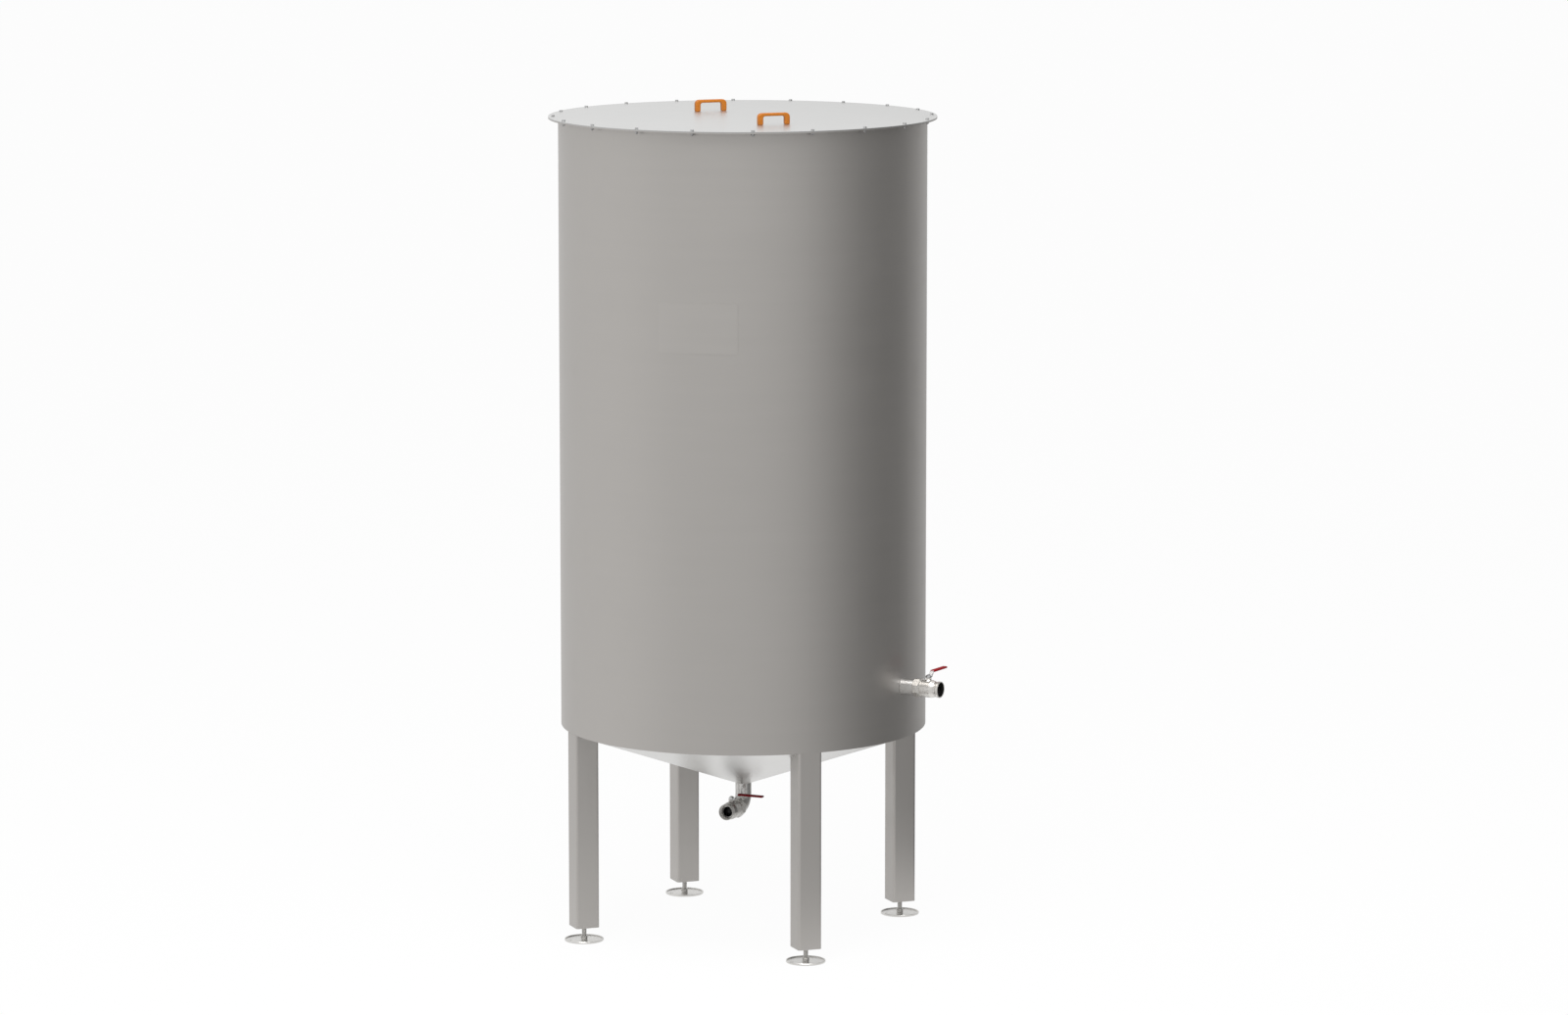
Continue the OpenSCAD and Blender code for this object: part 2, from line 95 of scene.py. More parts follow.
class Graph:
    """The node tree of one finish, with its Principled shader."""

    def __init__(self, name: str) -> None:
        """Starts a material with one Principled shader."""
        self.material = bpy.data.materials.new(name)
        self.material.use_nodes = True
        self.tree = self.material.node_tree
        self.tree.nodes.clear()
        self.shader = self.add("BsdfPrincipled")
        self.add("OutputMaterial", sockets={"Surface": self.shader})

    def add(
        self,
        kind: str,
        settings: dict[str, object] | None = None,
        sockets: dict[str | int, object] | None = None,
        out: str | int = 0,
    ) -> Wire | None:
        """Adds one node.

        Args:
            kind: the node's type, without its ShaderNode prefix.
            settings: the node's own settings, and "stops" for a ramp.
            sockets: values or wires for its input sockets.
            out: the output socket that is wanted.

        Returns:
            The wanted output as a wire, or None for a node without outputs.
        """
        node = self.tree.nodes.new("ShaderNode" + kind)
        for key, value in (settings or {}).items():
            if key == "stops":
                self._set_stops(node.color_ramp, value)
            else:
                setattr(node, key, value)
        for key, value in (sockets or {}).items():
            self._feed(node, key, value)
        return Wire(self, node.outputs[out]) if len(node.outputs) else None

    @staticmethod
    def _set_stops(ramp: bpy.types.ColorRamp, stops: list[tuple[float, float]]) -> None:
        """Sets a ramp's two stops, each as its place and its grey level."""
        for element, (place, level) in zip(ramp.elements, stops):
            element.position = place
            element.color = (level, level, level, 1.0)

    def _feed(self, node: bpy.types.Node, key: str | int, value: object) -> None:
        """Links a wire to an input socket, or sets the socket's value."""
        if isinstance(value, Wire):
            self.tree.links.new(value.socket, node.inputs[key])
        else:
            node.inputs[key].default_value = value

    def dress(self, **values: "Wire | float") -> bpy.types.Material:
        """Feeds the shader.

        Args:
            values: a value or wire for each input, its name written with _.

        Returns:
            The finished material.
        """
        for key, value in values.items():
            self._feed(self.shader.socket.node, key.replace("_", " "), value)
        return self.material

    def maths(self, operation: str, *values: "Wire | float") -> Wire:
        """Adds a Math node with one to three inputs."""
        return self.add("Math", {"operation": operation}, dict(enumerate(values)))

    def place(self) -> Wire:
        """Object coordinates, in metres."""
        return self.add("TexCoord", out="Object")

    def parts(self, vector: Wire) -> tuple[Wire, Wire, Wire]:
        """The three numbers of a vector."""
        first = self.add("SeparateXYZ", sockets={0: vector})
        outputs = first.socket.node.outputs
        return first, Wire(self, outputs[1]), Wire(self, outputs[2])

    def stretched(self, vector: Wire, scale: Point) -> Wire:
        """The vector with each of its numbers scaled."""
        return self.add("Mapping", sockets={"Vector": vector, "Scale": scale})

    def noise(self, vector: Wire, scale: float, detail: float = 2.0) -> Wire:
        """Noise from 0 to 1 at so many cells a metre."""
        sockets = {"Vector": vector, "Scale": scale, "Detail": detail}
        return self.add("TexNoise", sockets=sockets)

    def marks(self, vector: Wire, scale: float, start: float, full: float) -> Wire:
        """Scattered marks, 0 where the noise is under start and 1 over full."""
        stops = {"stops": [(start, 0.0), (full, 1.0)]}
        return self.add("ValToRGB", stops, {"Fac": self.noise(vector, scale, 5.0)})

    def tint(self, factor: Wire, colour: Colour, spread: float) -> Wire:
        """The colour made darker and lighter by a share, by the factor."""
        low, high = shade(colour, 1 - spread), shade(colour, 1 + spread)
        return self.blend(factor, (*low, 1.0), (*high, 1.0))

    def blend(self, factor: Wire, first: "Wire | tuple", second: "Wire | tuple") -> Wire:
        """Goes from the first colour to the second as the factor rises."""
        sockets = {"Factor": factor, 6: first, 7: second}
        return self.add("Mix", {"data_type": "RGBA"}, sockets, out=2)

    def bump(self, height: Wire, depth: float, strength: float) -> Wire:
        """A normal bent by a height map, its depth in metres."""
        sockets = {"Height": height, "Distance": depth, "Strength": strength}
        return self.add("Bump", sockets=sockets)


def shade(colour: Colour, share: float) -> Colour:
    """The colour made lighter or darker by a share."""
    return tuple(min(1.0, channel * share) for channel in colour)


class Grain(Enum):
    """How a ground sheet's lines run: noise cells a metre along each axis, fewest along the lines."""

    ROUND_THE_TANK = (2.5, 2.5, 1400.0)
    UPRIGHT = (1400.0, 1400.0, 3.0)
    ACROSS_THE_LID = (3.0, 1400.0, 3.0)


@dataclass(frozen=True)
class GroundSteel:
    """Satin stainless sheet with ground lines, soft clouds and faint rub marks.

    Attributes:
        edge_r: distance from the tank's axis where a darker edge starts, or 0 for none.
        edge_share: the edge's brightness as a share of the sheet's.
    """

    name: str
    colour: Colour
    roughness: float
    grain: Grain
    edge_r: float = 0.0
    edge_share: float = 1.0

    def material(self) -> bpy.types.Material:
        """Builds the finish, with its edge where it has one."""
        graph = Graph(self.name)
        place = graph.place()
        lines = graph.noise(graph.stretched(place, self.grain.value), 1.0, 3.0)
        broad = tuple(min(cells, 35.0) for cells in self.grain.value)
        streaks = graph.noise(graph.stretched(place, broad), 1.0, 4.0)
        clouds = graph.noise(place, 3.0, 4.0)
        rubs = graph.marks(place, 11.0, 0.52, 0.75)
        mixed = lines * 0.35 + streaks * 0.35 + clouds * 0.3
        colour = graph.tint(mixed, self.colour, 0.06)
        # Past edge_r the colour drops to edge_share of the sheet's, taking the lid's painted light off its
        # rim's side face.
        if self.edge_r:
            x, y, _ = graph.parts(place)
            rim = graph.maths("GREATER_THAN", graph.maths("SQRT", x * x + y * y), self.edge_r)
            edge = (*shade(self.colour, self.edge_share), 1.0)
            colour = graph.blend(rim, colour, edge)
        return graph.dress(
            Base_Color=colour,
            Roughness=(mixed - 0.5) * 0.16 + rubs * 0.03 + self.roughness,
            Metallic=1.0,
            Normal=graph.bump(lines, 0.00006, 0.25),
        )


@dataclass(frozen=True)
class TurnedSteel:
    """Steel turned on a lathe, with rings round the middle of each foot."""

    name: str
    colour: Colour
    roughness: float

    def material(self) -> bpy.types.Material:
        """Builds the finish."""
        graph = Graph(self.name)
        place = graph.place()
        x, y, z = graph.parts(place)
        side = graph.maths("ABSOLUTE", x) - LEG_R
        depth = graph.maths("ABSOLUTE", y) - LEG_R
        beside = graph.maths("SQRT", side * side + y * y)
        before = graph.maths("SQRT", x * x + depth * depth)
        radius = graph.maths("MINIMUM", beside, before)
        rings = graph.noise(graph.add("CombineXYZ", sockets={0: radius, 2: z}), 1600.0)
        clouds = graph.noise(place, 22.0, 4.0)
        mixed = rings * 0.5 + clouds * 0.5
        return graph.dress(
            Base_Color=graph.tint(mixed, self.colour, 0.1),
            Roughness=(mixed - 0.5) * 0.2 + self.roughness,
            Metallic=1.0,
            Normal=graph.bump(rings, 0.00008, 0.3),
        )


@dataclass(frozen=True)
class Plating:
    """Nickel or zinc over a casting: fine pits, clouds and scattered darker stains."""

    name: str
    colour: Colour
    roughness: float
    pits: float

    def material(self) -> bpy.types.Material:
        """Builds the finish."""
        graph = Graph(self.name)
        place = graph.place()
        grit = graph.noise(place, 700.0, 3.0)
        clouds = graph.noise(place, 60.0, 4.0)
        stains = graph.marks(place, 140.0, 0.45, 0.72)
        mixed = clouds * 0.6 + (1 - stains) * 0.4
        return graph.dress(
            Base_Color=graph.tint(mixed, self.colour, 0.2),
            Roughness=(clouds - 0.5) * 0.18 + stains * 0.12 + self.roughness,
            Metallic=1.0,
            Normal=graph.bump(grit, self.pits, 0.35),
        )


@dataclass(frozen=True)
class Coating:
    """A coloured coat, such as powder coat or a vinyl sleeve, with its fine skin."""

    name: str
    colour: Colour
    roughness: float
    skin_cells: float
    skin_depth: float
    gloss: float = 0.5

    def material(self) -> bpy.types.Material:
        """Builds the finish."""
        graph = Graph(self.name)
        place = graph.place()
        skin = graph.noise(place, self.skin_cells)
        clouds = graph.noise(place, 45.0, 4.0)
        scuffs = graph.marks(place, 180.0, 0.58, 0.74)
        return graph.dress(
            Base_Color=graph.tint(clouds, self.colour, 0.12),
            Roughness=(clouds - 0.5) * 0.12 + scuffs * 0.1 + self.roughness,
            Specular_IOR_Level=self.gloss,
            Normal=graph.bump(skin, self.skin_depth, 0.4),
        )


@dataclass(frozen=True)
class BallAndStem:
    """A ball painted near black below a level, as painted shade inside the valve's bore, with its stem of
    bare metal above that level.
    """

    name: str
    stem_z: float
    ball: Colour = (0.02, 0.02, 0.02)
    stem: Colour = (0.4, 0.39, 0.38)
    roughness: float = 0.4

    def material(self) -> bpy.types.Material:
        """Builds the finish."""
        graph = Graph(self.name)
        place = graph.place()
        clouds = graph.noise(place, 120.0, 4.0)
        _, _, z = graph.parts(place)
        # Under stem_z the colour is near black: painted shade inside the bore.
        above = graph.maths("GREATER_THAN", z, self.stem_z)
        return graph.dress(
            Base_Color=graph.blend(above, (*self.ball, 1.0), (*self.stem, 1.0)),
            Roughness=(clouds - 0.5) * 0.2 + self.roughness,
            Metallic=1.0,
        )


STEEL: Colour = (0.463, 0.445, 0.425)
LID_EDGE_R = 0.6317
# Levels above which the balls' stems are bare metal; below them the balls are painted near black as shade.
SIDE_STEM_Z = 0.885
BOTTOM_STEM_Z = 0.432
# The finish of each material slot in the record.
FINISHES = {
    "brushed_steel": GroundSteel("ground_wall_steel", STEEL, 0.42, Grain.ROUND_THE_TANK),
    # The lid's steel is lighter than the wall's: painted light on its grazing top; its rim's side face is
    # taken back near the wall's tone.
    "lid_steel": GroundSteel(
        "ground_lid_steel_painted_light", (0.557, 0.557, 0.55), 0.36, Grain.ACROSS_THE_LID, LID_EDGE_R, 0.8
    ),
    "plate_metal": GroundSteel("ground_plate", shade(STEEL, 1.02), 0.42, Grain.ROUND_THE_TANK),
    "leg_steel": GroundSteel("ground_leg_steel", STEEL, 0.42, Grain.UPRIGHT),
    "foot_steel": TurnedSteel("turned_foot_steel", (0.65, 0.64, 0.62), 0.3),
    "orange_handle": Coating("orange_powder_coat", (0.39, 0.12, 0.006), 0.4, 900.0, 0.00008, 0.35),
    "valve_nickel": Plating("nickel_on_casting", (0.68, 0.66, 0.63), 0.24, 0.0002),
    # Near black: painted shade, worn by the side socket's thread as the dark inside of its mouth.
    "ball_chrome": Plating("near_black_painted_bore_shade", (0.02, 0.02, 0.02), 0.4, 0.00002),
    "lever_steel": Plating("zinc_on_strip", (0.6, 0.6, 0.6), 0.32, 0.00005),
    "red_grip": Coating("red_vinyl_sleeve", (0.28, 0.001, 0.006), 0.5, 1400.0, 0.00006, 0.08),
}
# Finishes fitted to the photo for single pieces: lighter copies painted light on the cone and the side
# pipe, darker copies painted shade on the bottom valve and its pipe under the tank.
OWN_FINISHES = {
    # Lighter than the wall's steel: painted light on the cone.
    "cone_bottom": GroundSteel("ground_cone_steel_painted_light", (0.7, 0.695, 0.68), 0.34, Grain.ROUND_THE_TANK),
    # Lighter than real steel: painted highlight on the side pipe.
    "side_pipe": Plating("polished_side_pipe_painted_highlight", (0.9, 0.89, 0.87), 0.17, 0.00001),
    # Darker copies for the bottom valve and its pipe: painted shade from the tank above.
    "bottom_pipe": Plating("polished_bottom_pipe_painted_shade", (0.5, 0.49, 0.475), 0.2, 0.00002),
    "shaded_nickel": Plating("nickel_on_casting_painted_shade", (0.42, 0.41, 0.39), 0.3, 0.0002),
    "shaded_grip": Coating("red_sleeve_painted_shade", (0.13, 0.002, 0.005), 0.5, 1400.0, 0.00006, 0.08),
    # A darker copy of the nickel for the bottom socket's thread: painted shade.
    "bottom_socket": Plating("socket_thread_painted_shade", (0.5, 0.49, 0.47), 0.35, 0.0001),
    # Balls painted near black below their stem level: painted shade in the bore.
    "side_ball": BallAndStem("side_ball_and_stem", SIDE_STEM_Z),
    "bottom_ball": BallAndStem("bottom_ball_and_stem", BOTTOM_STEM_Z),
    "rim_bolt": Plating("dull_zinc_bolt", (0.42, 0.42, 0.42), 0.42, 0.00005),
}
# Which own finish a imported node, or the socket thread of a valve, wears instead of its slot's.
SOCKET_FINISHES = {"bottom_valve": "bottom_socket"}
NODE_FINISHES = {
    "cone_bottom": "cone_bottom",
    "side_outlet_pipe": "side_pipe",
    # The bottom pipe, elbow and valve wear the darker copies: painted shade.
    "bottom_outlet_pipe": "bottom_pipe",
    "bottom_outlet_elbow": "bottom_pipe",
    "bottom_valve_collar": "shaded_nickel",
    "bottom_valve_body": "shaded_nickel",
    "bottom_valve_gland": "shaded_nickel",
    "bottom_valve_grip": "shaded_grip",
    "side_valve_ball": "side_ball",
    "bottom_valve_ball": "bottom_ball",
}


class Bench:
    """Hands for modelling: primitives, edits and the last touches to a piece."""

    HEX_FACE = 0.475
    OVERCUT = 0.01
    BEVEL_FROM = 50.0

    def __init__(self) -> None:
        """Makes each finish once."""
        finishes = FINISHES | OWN_FINISHES
        self.materials = {name: finish.material() for name, finish in finishes.items()}

    def dress_frame(self) -> None:
        """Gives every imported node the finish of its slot, or its own."""
        slots = {row["node"]: row["material_slot"] for row in frame["record"]["subparts"]}
        for name, node in frame["nodes"].items():
            look = NODE_FINISHES.get(name, slots[name])
            for material_slot in node.material_slots:
                material_slot.material = self.materials[look]
        log.info("dressed %d packed nodes", len(frame["nodes"]))

    @staticmethod
    def clear() -> None:
        """Leaves nothing selected."""
        bpy.ops.object.select_all(action="DESELECT")

    def rod(self, radius: float, base: float, top: float, corners: int = 48) -> bpy.types.Object:
        """An upright rod or prism on the Z axis.

        Args:
            radius: its radius, to the corners.
            base: height of its lower end.
            top: height of its upper end.
            corners: how many sides it has.

        Returns:
            The rod.
        """
        self.clear()
        bpy.ops.mesh.primitive_cylinder_add(
            vertices=corners, radius=radius, depth=top - base, location=(0, 0, (base + top) / 2)
        )
        return bpy.context.object

    def combine(self, body: bpy.types.Object, tool: bpy.types.Object, operation: str) -> None:
        """Cuts or trims a body with a tool, which is then thrown away."""
        self.pick(body)
        change = body.modifiers.new("cut", "BOOLEAN")
        change.operation = operation
        change.object = tool
        bpy.ops.object.modifier_apply(modifier=change.name)
        bpy.data.objects.remove(tool)

    def hexagon(self, flats: float, base: float, top: float, bore: float = 0.0) -> bpy.types.Object:
        """A six-sided nut or bolt head with its corners turned off.

        Args:
            flats: width across the flats.
            base: height of its lower face.
            top: height of its upper face.
            bore: radius of its hole, or 0 for none.

        Returns:
            The block.
        """
        block = self.rod(flats / 2 / math.cos(math.pi / 6), base, top, 6)
        face, slope, height = flats * self.HEX_FACE, math.sqrt(3), top - base
        self.clear()
        bpy.ops.mesh.primitive_cone_add(
            vertices=48,
            radius1=face + slope * height,
            radius2=face,
            depth=height,
            location=(0, 0, (base + top) / 2),
        )
        self.combine(block, bpy.context.object, "INTERSECT")
        if bore:
            self.combine(block, self.rod(bore, base - height, top + height), "DIFFERENCE")
        return block

    def washer(self, radius: float, bore: float, base: float, top: float) -> bpy.types.Object:
        """A flat round washer with softened edges."""
        ring = self.rod(radius, base, top)
        hole = self.rod(bore, base - self.OVERCUT, top + self.OVERCUT)
        self.combine(ring, hole, "DIFFERENCE")
        self.soften(ring, (top - base) * 0.2)
        return ring

    def soften(self, piece: bpy.types.Object, width: float, steps: int = 2) -> None:
        """Bevels a piece's sharp edges, to a width and in so many steps."""
        self.pick(piece)
        bevel = piece.modifiers.new("soften", "BEVEL")
        bevel.width = width
        bevel.segments = steps
        bevel.angle_limit = math.radians(self.BEVEL_FROM)
        bpy.ops.object.modifier_apply(modifier=bevel.name)

    def coil(
        self, radius: float, ridge: float, pitch: float, base: float, turns: int, steps: int
    ) -> bpy.types.Object:
        """The ridge of a screw thread, as one winding strip with a diamond section.

        Args:
            radius: radius of the strip's middle.
            ridge: half height of the section.
            pitch: rise of one turn.
            base: height of the lower end's middle.
            turns: number of whole turns.
            steps: straight stretches in one turn.

        Returns:
            The strip, closed at both ends.
        """
        self.clear()
        bpy.ops.mesh.primitive_circle_add(
            vertices=4, radius=ridge, location=(radius, 0, base), rotation=(math.pi / 2, 0, 0)
        )
        strip = bpy.context.object
        bpy.ops.object.transform_apply(location=True, rotation=True, scale=False)
        wind = strip.modifiers.new("wind", "SCREW")
        wind.axis = "Z"
        wind.screw_offset = pitch
        wind.iterations = turns
        wind.steps = wind.render_steps = steps
        bpy.ops.object.modifier_apply(modifier=wind.name)
        bpy.ops.object.mode_set(mode="EDIT")
        bpy.ops.mesh.select_all(action="DESELECT")
        bpy.ops.mesh.select_mode(type="EDGE")
        bpy.ops.mesh.select_non_manifold()
        bpy.ops.mesh.edge_face_add()
        bpy.ops.mesh.select_all(action="SELECT")
        bpy.ops.mesh.normals_make_consistent(inside=False)
        bpy.ops.mesh.select_mode(type="VERT")
        bpy.ops.object.mode_set(mode="OBJECT")
        return strip

    def join(self, pieces: list[bpy.types.Object]) -> bpy.types.Object:
        """Makes one object of several, with their places in its mesh."""
        self.clear()
        for piece in pieces:
            piece.select_set(True)
        bpy.context.view_layer.objects.active = pieces[0]
        bpy.ops.object.transform_apply(location=True, rotation=True, scale=True)
        bpy.ops.object.join()
        return pieces[0]

    def finish(
        self,
        piece: bpy.types.Object,
        name: str,
        slot: str,
        body: str = TANK,
        angle: float = 35.0,
        look: str = "",
    ) -> bpy.types.Object:
        """Names a piece, puts its place in its mesh, dresses it and lets it ride.

        Args:
            piece: the modelled piece.
            name: its name.
            slot: the record's material slot that it takes its finish from.
            body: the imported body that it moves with.
            angle: edges flatter than this are shaded smooth, in degrees.
            look: an own finish that it wears instead of the slot's.

        Returns:
            The piece.
        """
        self.settle(piece)
        bpy.ops.object.shade_smooth_by_angle(angle=math.radians(angle))
        piece.name = piece.data.name = name
        piece.data.materials.clear()
        piece.data.materials.append(self.materials[look or slot])
        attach(piece, body)
        log.info("%s on %s, %d faces", name, body, len(piece.data.polygons))
        return piece

    def pick(self, piece: bpy.types.Object) -> None:
        """Selects one piece alone and makes it the active one."""
        self.clear()
        piece.select_set(True)
        bpy.context.view_layer.objects.active = piece

    def copy(self, piece: bpy.types.Object) -> bpy.types.Object:
        """A copy with its own mesh, left selected."""
        self.pick(piece)
        bpy.ops.object.duplicate(linked=False)
        return bpy.context.object

    def settle(self, piece: bpy.types.Object) -> None:
        """Puts a piece's place, turn and scale in its mesh."""
        self.pick(piece)
        bpy.ops.object.transform_apply(location=True, rotation=True, scale=True)


@dataclass
class RimBolts:
    """The M6 bolts that hold the lid on the flange, each with its nut and washers."""

    bench: Bench
    count: int = 20
    circle: float = 0.616
    flats: float = 0.010
    head: float = 0.004
    nut: float = 0.005
    washer_r: float = 0.006
    washer_t: float = 0.001
    thread_r: float = 0.003
    pitch: float = 0.001
    turns: int = 3

    @property
    def lid_top(self) -> float:
        """Height of the lid's upper face."""
        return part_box("lid")[1].z

    @property
    def flange_base(self) -> float:
        """Height of the flange's lower face."""
        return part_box("top_flange")[0].z

    def build(self) -> None:
        """Models one bolt and one nut, and copies them round the rim."""
        bolt, nut = self.bolt(), self.nut_below()
        for piece in (bolt, nut):
            piece.location = (self.circle, 0, 0)
        for number in range(self.count):
            for piece, name in ((bolt, "rim_bolt"), (nut, "rim_nut")):
                copy = self.bench.copy(piece)
                bpy.ops.object.transform_apply(location=True, rotation=True, scale=True)
                copy.rotation_euler = (0, 0, math.tau * number / self.count)
                name = f"{name}_{number + 1:02d}"
                self.bench.finish(copy, name, "foot_steel", look="rim_bolt")
        for piece in (bolt, nut):
            bpy.data.objects.remove(piece)

    def bolt(self) -> bpy.types.Object:
        """The bolt with its head, the washer under it and its threaded end."""
        seat = self.lid_top + self.washer_t
        head = self.bench.hexagon(self.flats, seat, seat + self.head)
        washer = self.bench.washer(self.washer_r, self.thread_r, self.lid_top, seat)
        end = self.flange_base - self.washer_t - self.nut - self.turns * self.pitch
        root = self.thread_r - self.pitch * 0.3
        shank = self.bench.rod(root, end, seat, 24)
        self.bench.soften(shank, 0.0006)
        ridge = self.bench.coil(
            root, self.pitch * 0.45, self.pitch, end + self.pitch, self.turns, 20
        )
        return self.bench.join([head, washer, shank, ridge])

    def nut_below(self) -> bpy.types.Object:
        """The nut under the flange with its washer."""
        seat = self.flange_base - self.washer_t
        nut = self.bench.hexagon(self.flats, seat - self.nut, seat, self.thread_r + 0.0002)
        washer = self.bench.washer(self.washer_r, self.thread_r, seat, self.flange_base)
        return self.bench.join([nut, washer])


@dataclass
class SoftHandles:
    """The lid handles with the rounded edges that a powder-coated casting has."""

    bench: Bench
    rounding: float = 0.0035
    steps: int = 4

    def build(self) -> None:
        """Rounds a copy of each packed handle and lets it stand in for the node."""
        for node in ("front_lid_handle", "rear_lid_handle"):
            handle = self.bench.copy(frame["nodes"][node])
            bpy.ops.object.mode_set(mode="EDIT")
            bpy.ops.mesh.select_all(action="SELECT")
            bpy.ops.mesh.remove_doubles(threshold=0.00001)
            bpy.ops.mesh.dissolve_limited(angle_limit=math.radians(0.5))
            bpy.ops.object.mode_set(mode="OBJECT")
            self.bench.soften(handle, self.rounding, self.steps)
            self.bench.finish(handle, f"{node}_rounded", "orange_handle", angle=40.0)
            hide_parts(node)


@dataclass
class FootStems:
    """The M16 threaded stems between the levelling feet and the legs."""

    bench: Bench
    radius: float = 0.008
    root: float = 0.0072
    pitch: float = 0.002

    def build(self) -> None:
        """Cuts a thread on each stem."""
        for side, degrees in LEG_SIDES.items():
            low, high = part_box(f"{side}_foot_stem")
            rod = self.bench.rod(self.root, low.z, high.z, 40)
            turns = int((high.z - low.z) / self.pitch) - 2
            ridge = self.bench.coil(
                self.root, self.radius - self.root, self.pitch, low.z + self.pitch, turns, 24
            )
            stem = self.bench.join([rod, ridge])
            turn = math.radians(degrees)
            stem.location = (LEG_R * math.cos(turn), LEG_R * math.sin(turn), 0)
            self.bench.finish(stem, f"{side}_threaded_stem", "foot_steel")
            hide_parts(f"{side}_foot_stem")


@dataclass
class ValveTrim:
    """What a packed ball valve lacks: the thread in its mouth, the lever's nut and its soft sleeve.

    Attributes:
        degrees: which way the valve points, about the tank's axis.
        reach: distance of the valve's inner end from the tank's axis.
        strip_over_gland: height of the lever strip's upper face over the gland's.
    """

    bench: Bench
    name: str
    degrees: float
    reach: float
    stem_x: float = 0.0485
    mouth_x: float = 0.0935
    socket_r: float = 0.02245
    socket_depth: float = 0.015
    pitch: float = 0.0023
    ridge: float = 0.001
    lining: float = 0.0004
    strip_over_gland: float = 0.0033
    nut_flats: float = 0.016
    nut_t: float = 0.004
    nut_bore: float = 0.0052
    sleeve_w: float = 0.017
    sleeve_rounding: float = 0.0025
    sleeve_steps: int = 5

    @property
    def height(self) -> float:
        """Height of the valve's axis above the floor."""
        low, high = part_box(f"{self.name}_collar")
        return (low.z + high.z) / 2

    def build(self) -> None:
        """Makes the thread, the nut and the lever's sleeve, and puts them on the valve."""
        floor = self.mouth_x - self.socket_depth
        root = self.socket_r - self.lining
        sleeve = self.bench.rod(self.socket_r, floor, self.mouth_x - self.ridge, 96)
        self.bench.combine(sleeve, self.bench.rod(root, floor - 0.01, 1.0, 96), "DIFFERENCE")
        turns = int(self.socket_depth / self.pitch) - 2
        ridge = self.bench.coil(root, self.ridge, self.pitch, floor + self.pitch, turns, 72)
        thread = self.bench.join([sleeve, ridge])
        thread.rotation_euler = (0, math.pi / 2, 0)
        self.on_valve(thread, 0.0)
        # The side socket's thread wears the ball slot's near-black finish and the bottom one a darker grey:
        # both painted shade inside the mouth.
        look = SOCKET_FINISHES.get(self.name, "")
        self.bench.finish(thread, f"{self.name}_socket_thread", "ball_chrome", look=look)
        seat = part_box(f"{self.name}_gland")[1].z + self.strip_over_gland - self.height
        nut = self.bench.hexagon(self.nut_flats, seat, seat + self.nut_t, self.nut_bore)
        self.on_valve(nut, self.stem_x)
        self.bench.finish(nut, f"{self.name}_lever_nut", "lever_steel", f"{self.name}_handle")
        self.sleeve_lever()

    def sleeve_lever(self) -> None:
        """Models the soft sleeve, which also covers the corners of the lever strip in it."""
        grip = f"{self.name}_grip"
        turn, reach = math.radians(self.degrees), self.reach + self.stem_x
        stem = Vector((reach * math.cos(turn), reach * math.sin(turn), 0.0))
        points = [vertex.co - stem for vertex in frame["nodes"][grip].data.vertices]
        middle = sum(points, Vector()) / len(points)
        way = Vector((middle.x, middle.y, 0.0)).normalized()
        along = [point.dot(way) for point in points]
        low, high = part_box(grip)
        length = max(along) - min(along)
        bpy.ops.mesh.primitive_cube_add(size=1.0, scale=(length, self.sleeve_w, high.z - low.z))
        sleeve = bpy.context.object
        self.bench.settle(sleeve)
        self.bench.soften(sleeve, self.sleeve_rounding, self.sleeve_steps)
        sleeve.location = stem + way * (max(along) - length / 2)
        sleeve.location.z = (low.z + high.z) / 2
        sleeve.rotation_euler = (0, 0, math.atan2(way.y, way.x))
        # The bottom valve's sleeve takes a darker red: painted shade under the tank.
        look = NODE_FINISHES.get(grip, "")
        self.bench.finish(sleeve, f"{grip}_sleeve", "red_grip", f"{self.name}_handle", look=look)
        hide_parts(grip)

    def on_valve(self, piece: bpy.types.Object, along: float) -> None:
        """Moves a piece from the origin to a place along the valve's axis."""
        self.bench.settle(piece)
        turn, reach = math.radians(self.degrees), self.reach + along
        piece.location = (reach * math.cos(turn), reach * math.sin(turn), self.height)
        piece.rotation_euler = (0, 0, turn)


@dataclass
class WeldBead:
    """A rippled bead round a joint, as a torch leaves it."""

    bench: Bench
    name: str
    radius: float
    leg: float
    place: Point
    turn: Point = (0.0, 0.0, 0.0)
    ripple: float = 0.0024
    depth: float = 0.00035
    corners: int = 10

    def build(self) -> None:
        """Models the bead, with every second ring of it drawn in."""
        rings = 2 * round(math.tau * self.radius / self.ripple)
        self.bench.clear()
        bpy.ops.mesh.primitive_torus_add(
            major_segments=rings,
            minor_segments=self.corners,
            major_radius=self.radius,
            minor_radius=self.leg,
        )
        bead = bpy.context.object
        for vertex in bead.data.vertices:
            vertex.select = vertex.index // self.corners % 2 == 0
        bpy.ops.object.mode_set(mode="EDIT")
        bpy.ops.transform.shrink_fatten(value=-self.depth)
        bpy.ops.object.mode_set(mode="OBJECT")
        bead.location = self.place
        bead.rotation_euler = self.turn
        self.bench.finish(bead, self.name, "brushed_steel", angle=60.0)


